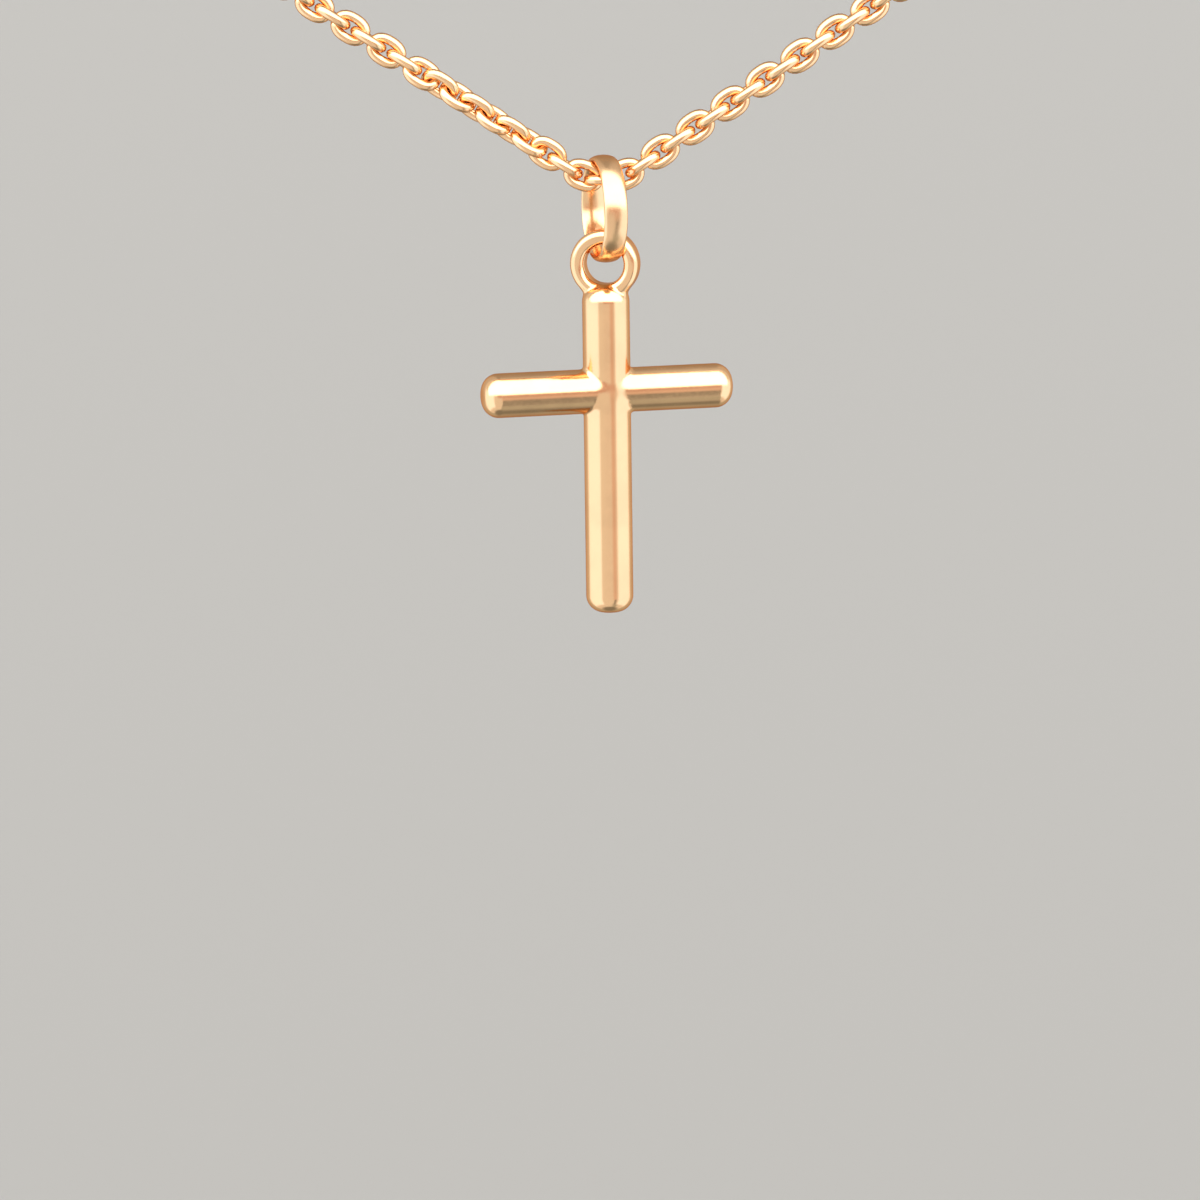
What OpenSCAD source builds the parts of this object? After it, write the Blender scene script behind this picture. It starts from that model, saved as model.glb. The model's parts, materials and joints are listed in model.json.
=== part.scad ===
// Cross pendant on its chain, in millimetres.
// The origin is the middle of the chain at the nape. X runs from the left strand to the right one,
// the front of the pendant faces -Y, and Z is up.

/* [Cross] */
// Diameter of the round bar that the post is made of
bar_d = 2.0; // [1.8:0.1:2.6]
// Diameter of the round bar that the arms are made of
arm_d = 1.88; // [1.6:0.02:2.6]
// Length of the post above the middle of the arms
post_up = 4.5; // [3.6:0.05:6]
// Length of the post below the middle of the arms
post_down = 9.45; // [7:0.05:14]
// Whole span of the arms
arm_span = 10.8; // [8:0.1:15]
// Radius of the rounding at every end of the bars
end_round = 0.72; // [0.4:0.02:0.78]

/* [Eyelet] */
// Diameter of the hole that the bail passes through
eyelet_hole_d = 1.68; // [1.6:0.02:1.9]
// Thickness of the eyelet's wall
eyelet_wall = 0.62; // [0.5:0.02:0.7]
// Depth of the eyelet from front to back
eyelet_depth = 1.0; // [0.8:0.05:1.3]
// Rounding along the eyelet's edges
eyelet_round = 0.28; // [0.1:0.02:0.3]
// Depth that the eyelet is sunk into the top of the post
eyelet_sink = 0.58; // [0.4:0.02:0.7]
// Turn of the eyelet on the post, seen from above
eyelet_turn = -26; // [-28:1:28]

/* [Bail] */
// Outer diameter of the bail
bail_d = 4.52; // [4.3:0.02:4.9]
// Thickness of the bail's band, from its hole to its rim
bail_thick = 0.4; // [0.3:0.02:0.46]
// Width of the bail's band
bail_wide = 1.0; // [0.8:0.05:1.05]
// Gap between the bail's band and the top of the eyelet's hole
bail_play = 0.38; // [0.34:0.02:0.46]
// Distance from the middle of the chain to the bail's band above it
bail_clear = 0.58; // [0.56:0.01:0.7]
// Turn of the bail and the cross on the chain, seen from above
pendant_turn = 12; // [-15:1:15]

/* [Chain] */
// Diameter of the chain's body
chain_d = 1.0; // [0.8:0.05:1.05]
// Radius of the loop round the neck, laid out flat
loop_r = 70; // [60:1:85]
// Rise of the two strands from the bail
strand_rise = 33.4; // [30:0.2:38]
// Radius of the turn where the chain passes through the bail
apex_r = 2.4; // [2.2:0.1:4]
// Slope of the loop at the front, down from level
front_slope = 88; // [80:1:89]
// Slope of the loop at the nape, down from level
nape_slope = 8; // [4:1:16]

/* [Clasp] */
// Radius of the clasp's ring, to the middle of its wire
clasp_r = 2.1; // [1.8:0.1:2.6]
// Diameter of the clasp's wire
clasp_wire_d = 0.9; // [0.7:0.05:1]
// Radius of the two end eyes, to the middle of their wire
eye_r = 0.62; // [0.6:0.02:0.8]
// Diameter of the wire of the end eyes
eye_wire_d = 0.4; // [0.36:0.02:0.44]
// Gap between an end eye and the chain
clasp_gap = 0.15; // [0.1:0.05:0.3]

/* [Hidden] */
$fn = 48;
gold = [0.86, 0.66, 0.44];
eyelet_hole_r = eyelet_hole_d / 2;
eyelet_r = eyelet_hole_r + eyelet_wall;
bail_r = bail_d / 2;
bail_hole_r = bail_r - bail_thick;
// The band's edges are almost full rounds
bail_round = 0.45 * bail_thick;
clasp_wire_r = clasp_wire_d / 2;
eye_wire_r = eye_wire_d / 2;

// The flat loop: a circle, two straight strands tangent to it, and a small turn where they meet
corner_v = loop_r + loop_r / cos(strand_rise);
turn_v = corner_v - apex_r / cos(strand_rise);
flat_drop = turn_v + apex_r;
turn_len = apex_r * strand_rise * PI / 180;
strand_len = (loop_r - apex_r) * tan(strand_rise);
arc_len = loop_r * (180 - strand_rise) * PI / 180;
// The flat loop is bent over the shoulders on a cylinder of this radius
bend_r = flat_drop / ((front_slope - nape_slope) * PI / 180);

// Places on the pendant, up from the chain's lowest point
apex = on_body(flat_drop);
bail_z = bail_clear - bail_hole_r;
eyelet_z = bail_z - bail_r + bail_thick + bail_play - eyelet_hole_r;
post_top_z = eyelet_z - eyelet_r + eyelet_sink;
arm_z = post_top_z - post_up;

// The chain's rings along its length: through the turn, up the strand and round the neck
sides = 8;
turn_rings = 5;
strand_rings = 5;
arc_rings = 30;
eye_x = clasp_r + clasp_wire_r + eye_r;
clasp_len = eye_x + eye_r + eye_wire_r + clasp_gap;

// Slope of the loop at a distance v from the nape, measured down the bend
function slope(v) = nape_slope + v / bend_r * 180 / PI;

// Y and Z of that place
function on_body(v) = [
    0,
    -bend_r * (sin(slope(v)) - sin(nape_slope)),
    bend_r * (cos(slope(v)) - cos(nape_slope))
];

// Place and heading in the flat loop at a length s from the lowest point: [across, v, rise]
function flat_at(s) =
    s < turn_len ? let (a = s / apex_r * 180 / PI)
        [apex_r * sin(a), turn_v + apex_r * cos(a), a]
    : s < turn_len + strand_len ? let (t = s - turn_len)
        [apex_r * sin(strand_rise) + t * cos(strand_rise),
         turn_v + apex_r * cos(strand_rise) - t * sin(strand_rise),
         strand_rise]
    : let (a = strand_rise + (s - turn_len - strand_len) / loop_r * 180 / PI)
        [loop_r * sin(a), loop_r + loop_r * cos(a), a];

// The same place and the two directions square to the chain there: [place, outward, sideways]
function place_at(s, side) =
    let (
        f = flat_at(s),
        b = slope(f[1]),
        across = [side, 0, 0],
        up_body = [0, cos(b), sin(b)],
        outward = [0, -sin(b), cos(b)],
        sideways = -sin(f[2]) * across + cos(f[2]) * up_body
    )
    [f[0] * across + on_body(f[1]), outward, sideways];

// Lengths at which the rings lie, from the lowest point to the clasp
ring_lengths = concat(
    [for (i = [0 : turn_rings - 1]) i / turn_rings * turn_len],
    [for (i = [0 : strand_rings - 1]) turn_len + i / strand_rings * strand_len],
    [for (i = [0 : arc_rings]) turn_len + strand_len + i / arc_rings * (arc_len - clasp_len)]
);

// A rounded rectangle, w wide and h high, whose corners have radius r
module rounded(w, h, r) {
    square([w - 2 * r, h], center = true);
    square([w, h - 2 * r], center = true);
    for (x = [-1, 1], y = [-1, 1])
        translate([x * (w / 2 - r), y * (h / 2 - r)]) circle(r);
}

// A round bar of diameter d along Z with both ends rounded, from z0 to z1
module bar(d, z0, z1) {
    translate([0, 0, (z0 + z1) / 2]) rotate_extrude() intersection() {
        rounded(d, z1 - z0, end_round);
        translate([0, -(z1 - z0)]) square([d / 2, 2 * (z1 - z0)]);
    }
}

// A ring about Z whose section reaches from r0 to r1 and is w wide
module band(r0, r1, w, r) {
    rotate_extrude() translate([(r0 + r1) / 2, 0]) rounded(r1 - r0, w, r);
}

// A ring about Z of round wire
module wire_ring(r, wire_r) {
    rotate_extrude() translate([r, 0]) circle(wire_r);
}

// The chain's body on one side, an eight-sided tube swept along its route
module chain_half(side) {
    rings = [for (s = ring_lengths) place_at(s, side)];
    count = len(rings);
    points = [
        for (ring = rings) for (k = [0 : sides - 1])
            let (a = (k + 0.5) * 360 / sides)
            ring[0] + chain_d / 2 * (cos(a) * ring[1] + sin(a) * ring[2])
    ];
    walls = [
        for (i = [0 : count - 2]) for (k = [0 : sides - 1])
            let (a = i * sides + k, b = i * sides + (k + 1) % sides)
            side > 0 ? [a, a + sides, b + sides, b] : [b, b + sides, a + sides, a]
    ];
    first = [for (k = [0 : sides - 1]) side > 0 ? k : sides - 1 - k];
    last = [for (k = [0 : sides - 1]) (count - 1) * sides + (side > 0 ? sides - 1 - k : k)];
    polyhedron(points, concat([first, last], walls));
}

// Post and arms of round bar, with the eyelet soldered on top: one solid
module cross() {
    color(gold) translate([0, apex[1], apex[2]]) rotate([0, 0, pendant_turn]) {
        translate([0, 0, arm_z]) {
            bar(bar_d, -post_down, post_up);
            rotate([0, 90, 0]) bar(arm_d, -arm_span / 2, arm_span / 2);
        }
        translate([0, 0, eyelet_z]) rotate([0, 0, eyelet_turn]) rotate([90, 0, 0])
            band(eyelet_hole_r, eyelet_r, eyelet_depth, eyelet_round);
    }
}

// Plain closed band that hangs on the chain and carries the eyelet
module bail() {
    color(gold) translate([0, apex[1], apex[2] + bail_z]) rotate([0, 90, pendant_turn])
        band(bail_hole_r, bail_r, bail_wide, bail_round);
}

module chain_left() {
    color(gold) chain_half(-1);
}

module chain_right() {
    color(gold) chain_half(1);
}

// Ring at the nape with an eye at each end, where the chain's ends are fastened: one solid
module clasp() {
    color(gold) rotate([nape_slope, 0, 0]) {
        wire_ring(clasp_r, clasp_wire_r);
        for (x = [-1, 1]) translate([x * eye_x, 0, 0]) wire_ring(eye_r, eye_wire_r);
    }
}

cross();
bail();
chain_left();
chain_right();
clasp();
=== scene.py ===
import json
import math

import bmesh
import bpy
import numpy as np
from mathutils import Matrix, Vector


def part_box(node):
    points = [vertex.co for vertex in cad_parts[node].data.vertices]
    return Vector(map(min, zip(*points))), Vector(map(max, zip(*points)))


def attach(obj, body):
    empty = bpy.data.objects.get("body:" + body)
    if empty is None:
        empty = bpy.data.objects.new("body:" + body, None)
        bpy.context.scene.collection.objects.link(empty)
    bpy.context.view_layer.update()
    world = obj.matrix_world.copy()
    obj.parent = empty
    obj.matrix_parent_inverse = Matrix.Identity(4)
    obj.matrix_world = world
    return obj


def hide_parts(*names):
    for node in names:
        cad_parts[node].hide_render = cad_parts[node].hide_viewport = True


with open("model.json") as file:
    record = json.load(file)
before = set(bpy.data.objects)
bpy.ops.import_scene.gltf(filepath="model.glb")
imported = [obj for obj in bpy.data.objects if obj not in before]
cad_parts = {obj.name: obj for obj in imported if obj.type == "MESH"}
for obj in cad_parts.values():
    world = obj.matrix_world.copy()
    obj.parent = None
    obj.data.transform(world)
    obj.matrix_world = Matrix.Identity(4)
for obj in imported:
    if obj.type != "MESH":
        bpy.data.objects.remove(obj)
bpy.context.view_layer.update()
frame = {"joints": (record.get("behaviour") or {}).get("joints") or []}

# Camera
# A long macro lens, aimed at the crossing of the arms from a little above, almost square to the
# loop. The post leans by less than a degree in the photograph, which is a roll of the camera.
hinges = {joint["name"]: joint for joint in frame["joints"]}
apex = np.array(hinges["bail_swing"]["pos_m"])
post_down = 0.00945
arm_centre = np.array([apex[0], apex[1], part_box("cross")[0].z + post_down])
IMAGE_SIDE = 1200
ARMS_AT = (607.0, 390.5)
PIXELS_PER_METRE = 23750.0
CAMERA_AZIMUTH = math.radians(-1.5)
CAMERA_RISE = math.radians(10.0)
CAMERA_ROLL = math.radians(0.8)
LENS, SENSOR = 200.0, 36.0

back = np.array([
    math.sin(CAMERA_AZIMUTH) * math.cos(CAMERA_RISE),
    -math.cos(CAMERA_AZIMUTH) * math.cos(CAMERA_RISE),
    math.sin(CAMERA_RISE),
])
level_right = np.array([math.cos(CAMERA_AZIMUTH), math.sin(CAMERA_AZIMUTH), 0.0])
level_up = np.cross(back, level_right)
right = math.cos(CAMERA_ROLL) * level_right - math.sin(CAMERA_ROLL) * level_up
up = math.sin(CAMERA_ROLL) * level_right + math.cos(CAMERA_ROLL) * level_up
off_right = (ARMS_AT[0] - IMAGE_SIDE / 2) / PIXELS_PER_METRE
off_up = (IMAGE_SIDE / 2 - ARMS_AT[1]) / PIXELS_PER_METRE
aim = arm_centre - right * off_right - up * off_up
distance = IMAGE_SIDE / PIXELS_PER_METRE * LENS / SENSOR

lens = bpy.data.cameras.new("camera")
lens.lens, lens.sensor_width = LENS, SENSOR
lens.clip_start, lens.clip_end = 0.01, 20.0
camera = bpy.data.objects.new("camera", lens)
camera.matrix_world = Matrix.Translation(Vector(aim + back * distance)) @ Matrix(
    np.stack([right, up, back], axis=1).tolist()
).to_4x4()
bpy.context.scene.collection.objects.link(camera)
bpy.context.scene.camera = camera


# Studio
# A plain pale floor under the hanging piece, and a soft studio all round it: a large white softbox
# with a tan hem overhead and in front, a pale panel at each side, a warm card and a dark stand beside
# the lens, and the dimmer room behind and below.
class Wire:
    """One socket of a node tree. Arithmetic on it adds Math nodes to the tree."""

    # Sockets of a Mix node for colours: its factor, the two colours and the result
    FACTOR, COLOUR_A, COLOUR_B, MIXED = 0, 6, 7, 2

    def __init__(self, tree, socket=None):
        """Keeps the tree, and the output socket that this wire starts from."""
        self.tree, self.socket = tree, socket

    def node(self, kind, settings=None, inputs=None, out=0):
        """Adds a node: its settings, then the values or wires of its sockets. Gives one output."""
        made = self.tree.nodes.new(kind)
        for name, value in (settings or {}).items():
            setattr(made, name, value)
        for name, value in (inputs or {}).items():
            if isinstance(value, Wire):
                self.tree.links.new(value.socket, made.inputs[name])
            else:
                made.inputs[name].default_value = value
        return Wire(self.tree, made.outputs[out]) if made.outputs else None

    def beside(self, out):
        """Another output of the node that this wire comes from."""
        return Wire(self.tree, self.socket.node.outputs[out])

    def math(self, operation, *terms):
        """A Math node on these numbers or wires, in their order."""
        return self.node("ShaderNodeMath", {"operation": operation}, dict(enumerate(terms)))

    def __add__(self, other):
        """This wire plus a number or wire."""
        return self.math("ADD", self, other)

    def __rsub__(self, other):
        """A number less this wire."""
        return self.math("SUBTRACT", other, self)

    def __mul__(self, other):
        """This wire times a number or wire."""
        return self.math("MULTIPLY", self, other)

    def __neg__(self):
        """This wire times minus one."""
        return self.math("MULTIPLY", self, -1.0)

    def rise(self, low, high):
        """0 below low, 1 above high, and a smooth step between them."""
        limits = {"From Min": low, "From Max": high, "Value": self}
        return self.node("ShaderNodeMapRange", {"interpolation_type": "SMOOTHSTEP"}, limits)

    def window(self, low, high, soft):
        """1 between low and high, with edges that are soft wide."""
        return self.rise(low - soft, low + soft) * (1.0 - self.rise(high - soft, high + soft))

    def mix(self, colour_a, colour_b):
        """A colour that goes from a to b as this wire goes from 0 to 1."""
        colours = {self.FACTOR: self, self.COLOUR_A: colour_a, self.COLOUR_B: colour_b}
        return self.node("ShaderNodeMix", {"data_type": "RGBA"}, colours, out=self.MIXED)


# The even light that falls on everything, and the colours that the polished metal mirrors. Each span
# below is in degrees: its low end, its high end and, for a window, how soft its edges are.
PALE = (0.84, 0.83, 0.81, 1.0)
SOFTBOX = (3.2, 3.2, 3.2, 1.0)
SOFTBOX_OVER, SOFTBOX_ACROSS = (11.0, 92.0, 5.0), (-78.0, 81.0, 5.0)
HEM = (0.72, 0.48, 0.42, 1.0)
HEM_WIDTH, HEM_HEIGHT = (-15.0, 36.0, 4.0), (-4.0, 16.0, 3.0)
PANEL = (1.36, 1.46, 1.60, 1.0)
LEFT_PANEL, RIGHT_PANEL, PANEL_HEIGHT = (-112.0, -39.0, 5.0), (42.0, 112.0, 5.0), (-50.0, 14.0, 6.0)
FRONT = (0.90, 0.87, 0.84, 1.0)
FRONT_WIDTH = (-122.0, 122.0, 8.0)
WARM_CARD = (0.84, 0.64, 0.57, 1.0)
CARD_WIDTH, CARD_HEIGHT = (17.0, 34.0, 5.0), (-22.0, 14.0, 5.0)
LENS_STAND = (0.32, 0.32, 0.30, 1.0)
STAND_WIDTH, STAND_HEIGHT = (22.0, 33.0, 3.0), (-50.0, -18.0, 5.0)
TABLE = (0.52, 0.54, 0.50, 1.0)
TABLE_WIDTH, TABLE_EDGE = (17.0, 54.0, 5.0), (-52.0, -40.0)
UNDER = (0.26, 0.27, 0.25, 1.0)
UNDER_EDGE = (-76.0, -62.0)
ROOM = (0.66, 0.63, 0.60, 1.0)
ROOM_EDGE = (-60.0, 5.0)
FAR_WALL = (0.42, 0.39, 0.36, 1.0)
FAR_WALL_WIDTH = (-160.0, 160.0, 12.0)
DEGREES = 180.0 / math.pi

world = bpy.data.worlds.new("studio")
world.use_nodes = True
world.node_tree.nodes.clear()
sky = Wire(world.node_tree)
heading = sky.node("ShaderNodeTexCoord", out="Generated")
side_x = sky.node("ShaderNodeSeparateXYZ", {}, {0: heading}, out="X")
side_y, side_z = side_x.beside("Y"), side_x.beside("Z")
to_side = sky.math("ARCTAN2", side_x, -side_y) * DEGREES
to_lateral = sky.math("ARCSINE", side_x) * DEGREES
to_height = sky.math("ARCSINE", side_z) * DEGREES
over_front = sky.math("ARCTAN2", side_z, -side_y) * DEGREES

room = to_height.rise(*ROOM_EDGE).mix(TABLE, ROOM)
room = to_side.window(*FAR_WALL_WIDTH).mix(FAR_WALL, room)
look = to_side.window(*FRONT_WIDTH).mix(room, FRONT)
table = (1.0 - to_height.rise(*TABLE_EDGE)) * to_side.window(*TABLE_WIDTH)
look = table.mix(look, TABLE)
look = to_height.rise(*UNDER_EDGE).mix(UNDER, look)
card = to_side.window(*CARD_WIDTH) * to_height.window(*CARD_HEIGHT)
look = card.mix(look, WARM_CARD)
hem = to_side.window(*HEM_WIDTH) * to_height.window(*HEM_HEIGHT)
look = hem.mix(look, HEM)
stand = to_side.window(*STAND_WIDTH) * to_height.window(*STAND_HEIGHT)
look = stand.mix(look, LENS_STAND)
panels = (to_side.window(*LEFT_PANEL) + to_side.window(*RIGHT_PANEL)) * to_height.window(*PANEL_HEIGHT)
look = panels.mix(look, PANEL)
softbox = over_front.window(*SOFTBOX_OVER) * to_lateral.window(*SOFTBOX_ACROSS)
look = softbox.mix(look, SOFTBOX)
mirrored = sky.node("ShaderNodeLightPath", out="Is Glossy Ray")
glow = sky.node("ShaderNodeBackground", {}, {"Color": mirrored.mix(PALE, look), "Strength": 1.0})
sky.node("ShaderNodeOutputWorld", {}, {"Surface": glow})
bpy.context.scene.world = world
bpy.context.scene.view_settings.view_transform = "Standard"

FLOOR_DROP = 0.045
FLOOR_R = 3.0
FLOOR_SIDES = 96
PAPER = (0.62, 0.61, 0.59, 1.0)
PAPER_ROUGHNESS = 0.9
floor_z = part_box("cross")[0].z - FLOOR_DROP
turns = np.linspace(0.0, 2.0 * np.pi, FLOOR_SIDES, endpoint=False)
rim = np.stack([
    FLOOR_R * np.cos(turns), FLOOR_R * np.sin(turns), np.full(FLOOR_SIDES, floor_z),
], axis=1)
floor_mesh = bpy.data.meshes.new("floor")
floor_mesh.from_pydata(rim.tolist(), [], [list(range(FLOOR_SIDES))])
floor = bpy.data.objects.new("floor", floor_mesh)
bpy.context.scene.collection.objects.link(floor)
floor.visible_glossy = False
paper = bpy.data.materials.new("pale_paper")
paper.use_nodes = True
paper.node_tree.nodes.clear()
sheet = Wire(paper.node_tree)
matt = sheet.node("ShaderNodeBsdfPrincipled", {}, {"Base Color": PAPER, "Roughness": PAPER_ROUGHNESS})
sheet.node("ShaderNodeOutputMaterial", {}, {"Surface": matt})
floor_mesh.materials.append(paper)


# Cross
# Latin cross of round bar with rounded ends, its thinner arms brazed to the post, and a thick eyelet
# soldered into the top of the post. It is rose-yellow gold, polished all over as one piece. All four
# limbs are made with the post's radius, and settling them draws the arms in to their own.
pendant_axes = np.array([
    hinges["bail_swing"]["axis"], hinges["cross_swing"]["axis"], [0.0, 0.0, 1.0],
])
bar_r = 0.0010
arm_r = 0.00094
end_round = 0.00072
post_up = 0.0045
arm_half = 0.0054
eyelet_hole_r = 0.00084
eyelet_wall = 0.00062
eyelet_depth = 0.0010
eyelet_round = 0.00028
eyelet_sink = 0.00058
eyelet_turn = math.radians(-26.0)
eyelet_up = post_up - eyelet_sink + eyelet_hole_r + eyelet_wall
# Widths of the solder in the corners: between the bars, and where the eyelet meets the post, from the
# eyelet's middle out to its neck on either side
solder = 0.00016
solder_at_eyelet = 0.00010
solder_at_neck = 0.00036
NECK_FROM, NECK_TO = 0.0007, 0.0011
BAR_STEPS = 192
WALL_ROWS = 44
END_ROWS = 24
DISC_ROWS = 8
EYELET_STEPS = 200
EYELET_CORNER_STEPS, EYELET_FLAT_STEPS = 10, 6
WELD = 2e-7
NUDGE = 2e-7
SETTLE_ROUNDS = 5
LEAST_SLOPE_SQUARED = 1e-3
GOLD_TONE = (0.93, 0.60, 0.33)
CLOUD_TONE = 0.93
EDGE_TINT = (1.0, 0.62, 0.42, 1.0)
MARKS_PER_METRE, MARK_DETAIL, MARK_FINENESS, MARK_SPAN = 9000.0, 5.0, 0.6, (0.25, 0.8)
CLOUDS_PER_METRE, CLOUD_DETAIL, CLOUD_SPAN = 700.0, 2.0, (0.35, 0.7)
MARK_DEPTH = 0.000004
MARK_ROUGHNESS = 0.08
CROSS_ROUGHNESS, CROSS_BRUSH = 0.12, 0.25


def closed_rows(rows, steps):
    """Quads of a grid of points whose rows close on themselves, from each row to the next."""
    row = np.arange(rows - 1)[:, None] * steps
    here = np.arange(steps)[None, :]
    beside = (here + 1) % steps
    quads = [row + here, row + beside, row + steps + beside, row + steps + here]
    return np.stack(quads, axis=-1).reshape(-1, 4)


def closed_both_ways(rows, steps):
    """Quads of a grid of points that closes on itself along its rows and across them."""
    row = np.arange(rows)[:, None] * steps
    above = (np.arange(rows)[:, None] + 1) % rows * steps
    here = np.arange(steps)[None, :]
    beside = (here + 1) % steps
    return np.stack([row + here, above + here, above + beside, row + beside], axis=-1).reshape(-1, 4)


def mesh_of(name, points, quads, triangles=()):
    """Puts arrays of points, quads and triangles into one mesh, with smooth faces."""
    mesh = bpy.data.meshes.new(name)
    corners = np.concatenate([np.ravel(quads), np.ravel(triangles)]).astype(np.int32)
    sizes = np.concatenate([np.full(len(quads), 4), np.full(len(triangles), 3)])
    starts = np.concatenate([[0], np.cumsum(sizes)[:-1]]).astype(np.int32)
    mesh.vertices.add(len(points))
    mesh.vertices.foreach_set("co", np.ravel(points).astype(np.float32))
    mesh.loops.add(len(corners))
    mesh.loops.foreach_set("vertex_index", corners)
    mesh.polygons.add(len(sizes))
    mesh.polygons.foreach_set("loop_start", starts)
    mesh.update(calc_edges=True)
    mesh.validate()
    mesh.polygons.foreach_set("use_smooth", np.ones(len(mesh.polygons), bool))
    return mesh


def limb(length):
    """Half of a bar, standing on +Z. Its wall runs from the mitre, where the height equals the
    distance across, straight up to a quarter round, and a flat disc closes it at a pole."""
    angle = np.linspace(0.0, 2.0 * np.pi, BAR_STEPS, endpoint=False)
    rows = 0.5 - 0.5 * np.cos(np.linspace(0.0, np.pi, WALL_ROWS))[:, None]
    foot = bar_r * np.abs(np.sin(angle))[None, :]
    wall_z = foot + rows * (length - end_round - foot)
    bend = np.linspace(0.0, np.pi / 2, END_ROWS + 1)[1:, None]
    end_z = np.broadcast_to(length - end_round + end_round * np.sin(bend), (END_ROWS, BAR_STEPS))
    disc_r = np.linspace(1.0, 0.0, DISC_ROWS + 1)[1:-1, None] * (bar_r - end_round)
    disc_z = np.full((len(disc_r), BAR_STEPS), length)
    radius = np.concatenate([
        np.full((WALL_ROWS, 1), bar_r), bar_r - end_round + end_round * np.cos(bend), disc_r,
    ])
    height = np.concatenate([wall_z, end_z, disc_z])
    grid = np.stack([radius * np.sin(angle), -radius * np.cos(angle), height], axis=-1)
    points = np.concatenate([grid.reshape(-1, 3), [[0.0, 0.0, length]]])
    last = (len(grid) - 1) * BAR_STEPS + np.arange(BAR_STEPS)
    cap = np.stack([last, np.roll(last, -1), np.full(BAR_STEPS, len(points) - 1)], axis=-1)
    return points, closed_rows(len(grid), BAR_STEPS), cap


def turned_about_y(points, turn):
    """Points turned by an angle about the Y axis."""
    cosine, sine = math.cos(turn), math.sin(turn)
    return points @ np.array([[cosine, 0.0, -sine], [0.0, 1.0, 0.0], [sine, 0.0, cosine]])


def turned_about_z(points, turn):
    """Points turned by an angle about the Z axis."""
    cosine, sine = math.cos(turn), math.sin(turn)
    return points @ np.array([[cosine, sine, 0.0], [-sine, cosine, 0.0], [0.0, 0.0, 1.0]])


def rounded_section(wide, high, radius):
    """Outline of a rounded rectangle: four quarter rounds, joined by straight runs of even steps."""
    corners = []
    for quarter in range(4):
        angle = np.linspace(quarter * np.pi / 2, (quarter + 1) * np.pi / 2, EYELET_CORNER_STEPS + 1)
        centre_x = (wide / 2 - radius) * (1.0 if quarter in (0, 3) else -1.0)
        centre_y = (high / 2 - radius) * (1.0 if quarter in (0, 1) else -1.0)
        corners.append(np.stack([
            centre_x + radius * np.cos(angle), centre_y + radius * np.sin(angle),
        ], axis=1))
    run = np.linspace(0.0, 1.0, EYELET_FLAT_STEPS + 1)[1:-1, None]
    outline = []
    for corner, following in zip(corners, corners[1:] + corners[:1]):
        outline += [corner, corner[-1] + run * (following[0] - corner[-1])]
    return np.concatenate(outline)


def ring(section, radius, steps):
    """A section carried round the Y axis: its first number goes outwards and its second along Y."""
    angle = np.linspace(0.0, 2.0 * np.pi, steps, endpoint=False)[:, None]
    out = radius + section[None, :, 0]
    depth = np.broadcast_to(section[None, :, 1], (steps, len(section)))
    grid = np.stack([out * np.sin(angle), depth, out * np.cos(angle)], axis=-1)
    return grid.reshape(-1, 3), closed_both_ways(steps, len(section))


def outward(mesh):
    """Welds points that coincide, and turns every face outwards."""
    work = bmesh.new()
    work.from_mesh(mesh)
    bmesh.ops.remove_doubles(work, verts=work.verts, dist=WELD)
    bmesh.ops.recalc_face_normals(work, faces=work.faces)
    work.to_mesh(mesh)
    work.free()
    mesh.update()


def joined_solids(name, first, second):
    """One closed mesh of two overlapping solids, cut where they meet."""
    holder = bpy.data.objects.new(name, first)
    cutter = bpy.data.objects.new(name + "_part", second)
    for thing in (holder, cutter):
        bpy.context.scene.collection.objects.link(thing)
    union = holder.modifiers.new("union", "BOOLEAN")
    union.operation, union.solver, union.object = "UNION", "EXACT", cutter
    bpy.context.view_layer.update()
    finished = holder.evaluated_get(bpy.context.evaluated_depsgraph_get())
    result = bpy.data.meshes.new_from_object(finished)
    for thing in (holder, cutter):
        bpy.data.objects.remove(thing)
    work = bmesh.new()
    work.from_mesh(result)
    bmesh.ops.dissolve_degenerate(work, dist=WELD, edges=work.edges)
    bmesh.ops.triangulate(work, faces=[face for face in work.faces if len(face.verts) > 4])
    work.to_mesh(result)
    work.free()
    bpy.data.meshes.remove(first)
    bpy.data.meshes.remove(second)
    return result


def smooth(x):
    """0 below 0, 1 above 1, and between them three times the square less twice the cube."""
    x = np.clip(x, 0.0, 1.0)
    return x * x * (3.0 - 2.0 * x)


def melt(first, second, width):
    """The nearer of two distances, less a quarter of the width times the square of how alike they are,
    which fills a corner as solder does."""
    alike = np.maximum(width - np.abs(first - second), 0.0) / width
    return np.minimum(first, second) - alike * alike * width / 4


def rounded_edge(past_one, past_other, radius):
    """Distance to a rounded edge, from the distances past its two straight sides."""
    outside = np.hypot(np.maximum(past_one, 0.0), np.maximum(past_other, 0.0))
    return outside + np.minimum(np.maximum(past_one, past_other), 0.0) - radius


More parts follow.
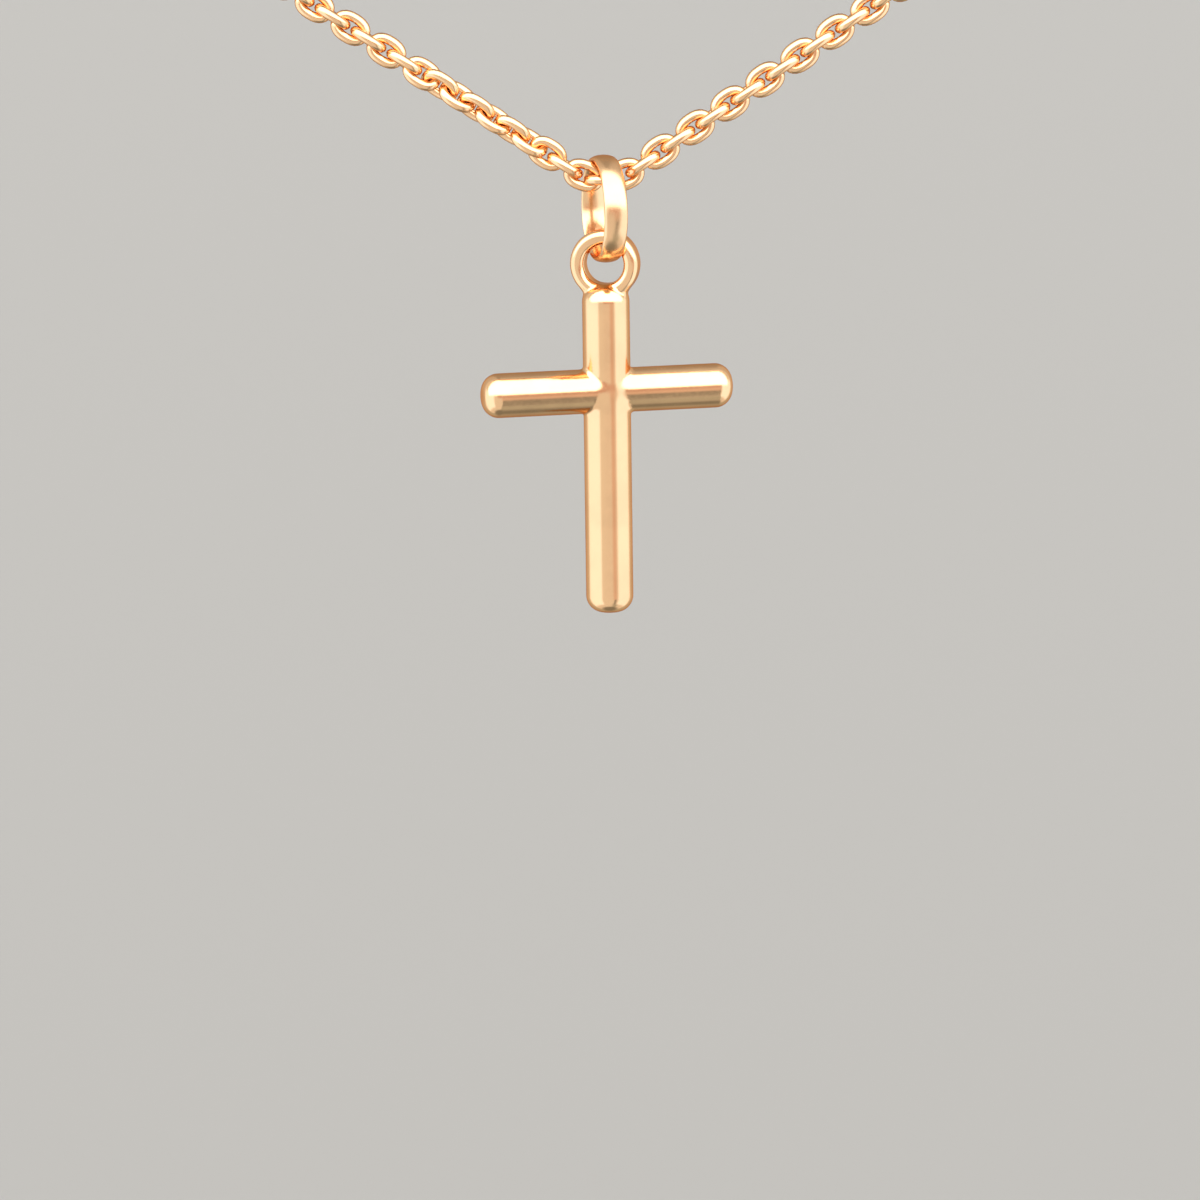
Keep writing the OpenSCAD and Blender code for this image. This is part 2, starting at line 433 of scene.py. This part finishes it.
def cross_distance(points):
    """Distance from points to the cross: post, arms and eyelet, melted into each other."""
    x, y, z = points.T
    post_half, post_middle = (post_up + post_down) / 2, (post_up - post_down) / 2
    post_core, arm_core = bar_r - end_round, arm_r - end_round
    post = rounded_edge(np.hypot(x, y) - post_core,
                        np.abs(z - post_middle) - post_half + end_round, end_round)
    arms = rounded_edge(np.hypot(y, z) - arm_core, np.abs(x) - arm_half + end_round, end_round)
    x, y, z = turned_about_z(points - np.array([0.0, 0.0, eyelet_up]), -eyelet_turn).T
    from_wall = np.abs(np.hypot(x, z) - eyelet_hole_r - eyelet_wall / 2)
    eyelet = rounded_edge(from_wall - eyelet_wall / 2 + eyelet_round,
                          np.abs(y) - eyelet_depth / 2 + eyelet_round, eyelet_round)
    neck = smooth((np.abs(x) - NECK_FROM) / (NECK_TO - NECK_FROM))
    fillet = solder_at_eyelet + (solder_at_neck - solder_at_eyelet) * neck
    return melt(melt(post, arms, solder), eyelet, fillet)


def settle(mesh, distance_of, place):
    """Moves a mesh's points onto the surface where a distance is nought: in each round, back along the
    distance's slope, by the distance over the slope's length. The last slope gives the normals. Then
    the mesh is turned to the pendant's axes and put in its place."""
    points = np.zeros(len(mesh.vertices) * 3)
    mesh.vertices.foreach_get("co", points)
    points = points.reshape(-1, 3)
    for _ in range(SETTLE_ROUNDS):
        slope = np.stack([
            distance_of(points + NUDGE * axis) - distance_of(points - NUDGE * axis)
            for axis in np.eye(3)
        ], axis=1) / (2 * NUDGE)
        slope_squared = np.maximum((slope * slope).sum(axis=1, keepdims=True), LEAST_SLOPE_SQUARED)
        points = points - distance_of(points)[:, None] * slope / slope_squared
    normals = slope / np.sqrt(slope_squared) @ pendant_axes
    mesh.vertices.foreach_set("co", np.ravel(points @ pendant_axes + place))
    mesh.update()
    mesh.polygons.foreach_set("use_smooth", np.ones(len(mesh.polygons), bool))
    mesh.normals_split_custom_set_from_vertices(normals.tolist())


def gold(name, rough, brush):
    """Polished gold: fine polishing marks of a few hundredths of a millimetre in its roughness and
    relief, and broad soft changes of tone."""
    material = bpy.data.materials.new(name)
    material.use_nodes = True
    material.node_tree.nodes.clear()
    skin = Wire(material.node_tree)
    place = skin.node("ShaderNodeTexCoord", out="Object")
    marks = skin.node("ShaderNodeTexNoise", {}, {
        "Vector": place, "Scale": MARKS_PER_METRE, "Detail": MARK_DETAIL, "Roughness": MARK_FINENESS,
    })
    clouds = skin.node("ShaderNodeTexNoise", {}, {
        "Vector": place, "Scale": CLOUDS_PER_METRE, "Detail": CLOUD_DETAIL,
    })
    clouded = tuple(channel * CLOUD_TONE for channel in GOLD_TONE)
    colour = clouds.rise(*CLOUD_SPAN).mix((*GOLD_TONE, 1.0), (*clouded, 1.0))
    relief = skin.node("ShaderNodeBump", {}, {
        "Strength": brush, "Distance": MARK_DEPTH, "Height": marks,
    })
    metal = skin.node("ShaderNodeBsdfPrincipled", {}, {
        "Base Color": colour,
        "Metallic": 1.0,
        "Roughness": marks.rise(*MARK_SPAN) * MARK_ROUGHNESS + rough,
        "Normal": relief,
        "Specular Tint": EDGE_TINT,
    })
    skin.node("ShaderNodeOutputMaterial", {}, {"Surface": metal})
    return material


def piece(name, mesh, material, node, body):
    """Links a finished mesh as one piece that rides on a body and stands for a node."""
    mesh.materials.clear()
    mesh.materials.append(material)
    thing = bpy.data.objects.new(name, mesh)
    bpy.context.scene.collection.objects.link(thing)
    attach(thing, body)
    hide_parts(node)


bars = [(post_up, 0.0), (arm_half, math.pi / 2), (post_down, math.pi), (arm_half, -math.pi / 2)]
points, quads, caps = [], [], []
for length, turn in bars:
    limb_points, limb_quads, limb_cap = limb(length)
    start = sum(map(len, points))
    points.append(turned_about_y(limb_points, turn))
    quads.append(limb_quads + start)
    caps.append(limb_cap + start)
bars_mesh = mesh_of("bars", np.concatenate(points), np.concatenate(quads), np.concatenate(caps))
outward(bars_mesh)
eyelet_section = rounded_section(eyelet_wall, eyelet_depth, eyelet_round)
eyelet_points, eyelet_quads = ring(eyelet_section, eyelet_hole_r + eyelet_wall / 2, EYELET_STEPS)
eyelet_points = turned_about_z(eyelet_points, eyelet_turn) + np.array([0.0, 0.0, eyelet_up])
eyelet_mesh = mesh_of("eyelet", eyelet_points, eyelet_quads)
outward(eyelet_mesh)
cross_mesh = joined_solids("cross_form", bars_mesh, eyelet_mesh)
settle(cross_mesh, cross_distance, arm_centre)
bright_gold = gold("bright_gold", CROSS_ROUGHNESS, CROSS_BRUSH)
piece("cross_piece", cross_mesh, bright_gold, "cross", "cross")


# Bail
# A closed band of the same gold, crowned outside, and polished down and rounded inside where it lies
# on the links. It is threaded through the eyelet and round the chain, and its joint is soldered.
bail_r = 0.00226
bail_thick = 0.0004
bail_wide = 0.0010
OUTER_SQUARENESS = 2.05
INNER_SQUARENESS = 1.75
INNER_POLISH = 0.00005
BAIL_SECTION_STEPS = 56
BAIL_STEPS = 192
BAIL_ROUGHNESS, BAIL_BRUSH = 0.19, 0.25


def squared(circle, squareness):
    """Points of the superellipse |x|^n + |y|^n = 1, from a circle's points and the squareness n."""
    return np.sign(circle) * np.abs(circle) ** (2.0 / squareness)


bail_lo, bail_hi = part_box("bail")
bail_centre = (np.array(bail_lo) + np.array(bail_hi)) / 2
bail_turn = np.linspace(0.0, 2.0 * np.pi, BAIL_SECTION_STEPS, endpoint=False)
bail_section = np.stack([np.cos(bail_turn), np.sin(bail_turn)], axis=1)
on_outside = bail_section[:, :1] > 0.0
bail_section = squared(bail_section, np.where(on_outside, OUTER_SQUARENESS, INNER_SQUARENESS))
bail_section[:, :1] *= np.where(on_outside, bail_thick / 2, bail_thick / 2 - INNER_POLISH)
bail_section[:, 1:] *= bail_wide / 2
bail_points, bail_quads = ring(bail_section, bail_r - bail_thick / 2, BAIL_STEPS)
bail_points = turned_about_z(bail_points, math.pi / 2) @ pendant_axes + bail_centre
bail_mesh = mesh_of("bail_form", bail_points, bail_quads)
outward(bail_mesh)
bail_gold = gold("bail_gold", BAIL_ROUGHNESS, BAIL_BRUSH)
piece("bail_piece", bail_mesh, bail_gold, "bail", "bail")


# Chain
# A trace chain of some five hundred oval links of round wire, each threaded through the next at right
# angles and soldered shut. It runs through the bail, up both sides and round to the nape.
loop_r = 0.070
strand_rise = math.radians(33.4)
apex_r = 0.0024
front_slope = math.radians(88.0)
nape_slope = math.radians(8.0)
link_wire_r = 0.00021
link_wide = 0.00132
link_long = 0.00173
LINK_SQUARENESS = 2.4
LINKS = 250
# Along the chain from the clasp's middle to the middle of the last link, which goes through an eye
clasp_reach = 0.00401
# The links beside the bail are seen close, so they have more steps along and round their wire
CLOSE_LINKS = 40
CLOSE_STEPS, CLOSE_SIDES = 28, 12
PLAIN_STEPS, PLAIN_SIDES = 14, 6
# The weight of the bail presses the links under it down by this much, fading out over this length
BAIL_PRESS = 0.00008
PRESSED_SPAN = 0.002
# Where the left strand has taken a twist: distance from the lowest point, length, and degrees
TWISTS = [
    (0.0020, 0.0020, 45.0),
    (0.0078, 0.0022, 45.0),
    (0.0400, 0.0800, -90.0),
]
# Each link also leans a little by itself, through this angle and by uneven steps of the golden angle
LOOSE_TURN = math.radians(3.0)
LOOSE_STEP, LOOSE_START = 2.39996, 0.7
CHAIN_ROUGHNESS, CHAIN_BRUSH = 0.14, 0.3

corner_v = loop_r + loop_r / math.cos(strand_rise)
turn_v = corner_v - apex_r / math.cos(strand_rise)
bend_r = (turn_v + apex_r) / (front_slope - nape_slope)
turn_len = apex_r * strand_rise
strand_len = (loop_r - apex_r) * math.tan(strand_rise)
half_len = turn_len + strand_len + loop_r * (math.pi - strand_rise)
pitch = (half_len - clasp_reach) / LINKS


def route(s, side):
    """Places on one half of the chain at lengths s from its lowest point: a flat loop of a small turn,
    a straight strand and a circle, bent over the shoulders on a cylinder. Also the way out of the
    body there."""
    turn = s / apex_r
    climb = s - turn_len
    round_neck = strand_rise + (s - turn_len - strand_len) / loop_r
    stretch = [s < turn_len, s < turn_len + strand_len]
    across = np.select(stretch, [
        apex_r * np.sin(turn), apex_r * math.sin(strand_rise) + climb * math.cos(strand_rise),
    ], loop_r * np.sin(round_neck))
    down = np.select(stretch, [
        turn_v + apex_r * np.cos(turn),
        turn_v + apex_r * math.cos(strand_rise) - climb * math.sin(strand_rise),
    ], loop_r + loop_r * np.cos(round_neck))
    slope = nape_slope + down / bend_r
    place = np.stack([
        side * across,
        -bend_r * (np.sin(slope) - math.sin(nape_slope)),
        bend_r * (np.cos(slope) - math.cos(nape_slope)),
    ], axis=1)
    outwards = np.stack([np.zeros_like(slope), -np.sin(slope), np.cos(slope)], axis=1)
    return place, outwards


def signed_route(s):
    """The whole loop at signed lengths: the left half below nought and the right half above."""
    right_place, right_out = route(np.abs(s), 1.0)
    left_place, left_out = route(np.abs(s), -1.0)
    on_right = (s >= 0.0)[:, None]
    return np.where(on_right, right_place, left_place), np.where(on_right, right_out, left_out)


def unit(vectors):
    """Vectors scaled to length one."""
    return vectors / np.linalg.norm(vectors, axis=-1, keepdims=True)


def oval_link(steps, sides):
    """Points and quads of one link about the origin, its long side along X. The middle of its wire
    runs round a superellipse, and the wire's circle stands on that line's outward normal and on Z."""
    half_size = np.array([link_long / 2 - link_wire_r, link_wide / 2 - link_wire_r])
    angle = np.linspace(0.0, 2.0 * np.pi, steps, endpoint=False)
    circle = np.stack([np.cos(angle), np.sin(angle)], axis=1)
    middle = squared(circle, LINK_SQUARENESS)
    outwards = unit(np.sign(middle) * np.abs(middle) ** (LINK_SQUARENESS - 1.0) / half_size)
    wire_turn = np.linspace(0.0, 2.0 * np.pi, sides, endpoint=False)
    aside = link_wire_r * np.cos(wire_turn)[None, :, None] * outwards[:, None, :]
    rise = np.broadcast_to(link_wire_r * np.sin(wire_turn), (steps, sides))
    grid = np.concatenate([middle[:, None, :] * half_size + aside, rise[..., None]], axis=-1)
    return grid.reshape(-1, 3), closed_both_ways(steps, sides)


def chain_piece(name, numbers, node):
    """The links with these numbers, counted from the lowest point, as one mesh. Each lies along the
    chord of its stretch of the route, every other one turned by a quarter."""
    s = numbers * pitch
    ahead, _ = signed_route(s + pitch / 2)
    behind, _ = signed_route(s - pitch / 2)
    _, out = signed_route(s)
    pressed = BAIL_PRESS * np.exp(-((s / PRESSED_SPAN) ** 2))
    middle = (ahead + behind) / 2 - pressed[:, None] * [0.0, 0.0, 1.0]
    along = unit(ahead - behind)
    beside = unit(np.cross(along, out))
    out = np.cross(beside, along)
    left = np.maximum(-s, 0.0)
    twist = sum(degrees * smooth((left - start) / length) for start, length, degrees in TWISTS)
    loose = LOOSE_TURN * np.sin(numbers * LOOSE_STEP + LOOSE_START)
    turn = np.radians(twist) + loose + np.where(numbers % 2 == 0, 0.0, np.pi / 2)
    in_plane = np.cos(turn)[:, None] * out + np.sin(turn)[:, None] * beside
    axes = np.stack([along, in_plane, np.cross(along, in_plane)], axis=1)
    close = np.abs(numbers) <= CLOSE_LINKS
    points, quads, count = [], [], 0
    for chosen, link in [(close, oval_link(CLOSE_STEPS, CLOSE_SIDES)),
                         (~close, oval_link(PLAIN_STEPS, PLAIN_SIDES))]:
        link_points, link_quads = link
        placed = np.einsum("pi,kij->kpj", link_points, axes[chosen]) + middle[chosen][:, None, :]
        firsts = count + np.arange(len(placed)) * len(link_points)
        points.append(placed.reshape(-1, 3))
        quads.append((link_quads[None] + firsts[:, None, None]).reshape(-1, 4))
        count += len(points[-1])
    mesh = mesh_of(name + "_form", np.concatenate(points), np.concatenate(quads))
    piece(name, mesh, chain_gold, node, "chain")


chain_gold = gold("chain_gold", CHAIN_ROUGHNESS, CHAIN_BRUSH)
chain_piece("chain_left_links", np.arange(-LINKS, 1), "chain_left")
chain_piece("chain_right_links", np.arange(1, LINKS + 1), "chain_right")


# Clasp
# The fastening at the nape, made plainly: a ring of round wire with a small eye soldered on at each
# side, through which the last links of the chain are threaded.
clasp_r = 0.0021
clasp_wire_r = 0.00045
eye_r = 0.00062
eye_wire_r = 0.0002
eye_x = clasp_r + clasp_wire_r + eye_r
CLASP_STEPS, CLASP_SIDES = 128, 28
EYE_STEPS, EYE_SIDES = 56, 18
clasp_axes = np.array([
    [1.0, 0.0, 0.0],
    [0.0, math.cos(nape_slope), math.sin(nape_slope)],
    [0.0, -math.sin(nape_slope), math.cos(nape_slope)],
])


def wire_ring(radius, wire_r, steps, sides, x):
    """A circle of wire carried round a circle, lying flat about Z with its middle at x."""
    wire_turn = np.linspace(0.0, 2.0 * np.pi, sides, endpoint=False)
    section = wire_r * np.stack([np.cos(wire_turn), np.sin(wire_turn)], axis=1)
    ring_points, ring_quads = ring(section, radius, steps)
    flat = np.stack([ring_points[:, 0] + x, ring_points[:, 2], ring_points[:, 1]], axis=1)
    mesh = mesh_of("ring", flat, ring_quads)
    outward(mesh)
    return mesh


clasp_mesh = wire_ring(clasp_r, clasp_wire_r, CLASP_STEPS, CLASP_SIDES, 0.0)
for x in (-eye_x, eye_x):
    eye_mesh = wire_ring(eye_r, eye_wire_r, EYE_STEPS, EYE_SIDES, x)
    clasp_mesh = joined_solids("clasp_form", clasp_mesh, eye_mesh)
clasp_mesh.transform(Matrix(clasp_axes.T.tolist()).to_4x4())
clasp_mesh.polygons.foreach_set("use_smooth", np.ones(len(clasp_mesh.polygons), bool))
piece("clasp_piece", clasp_mesh, chain_gold, "clasp", "chain")
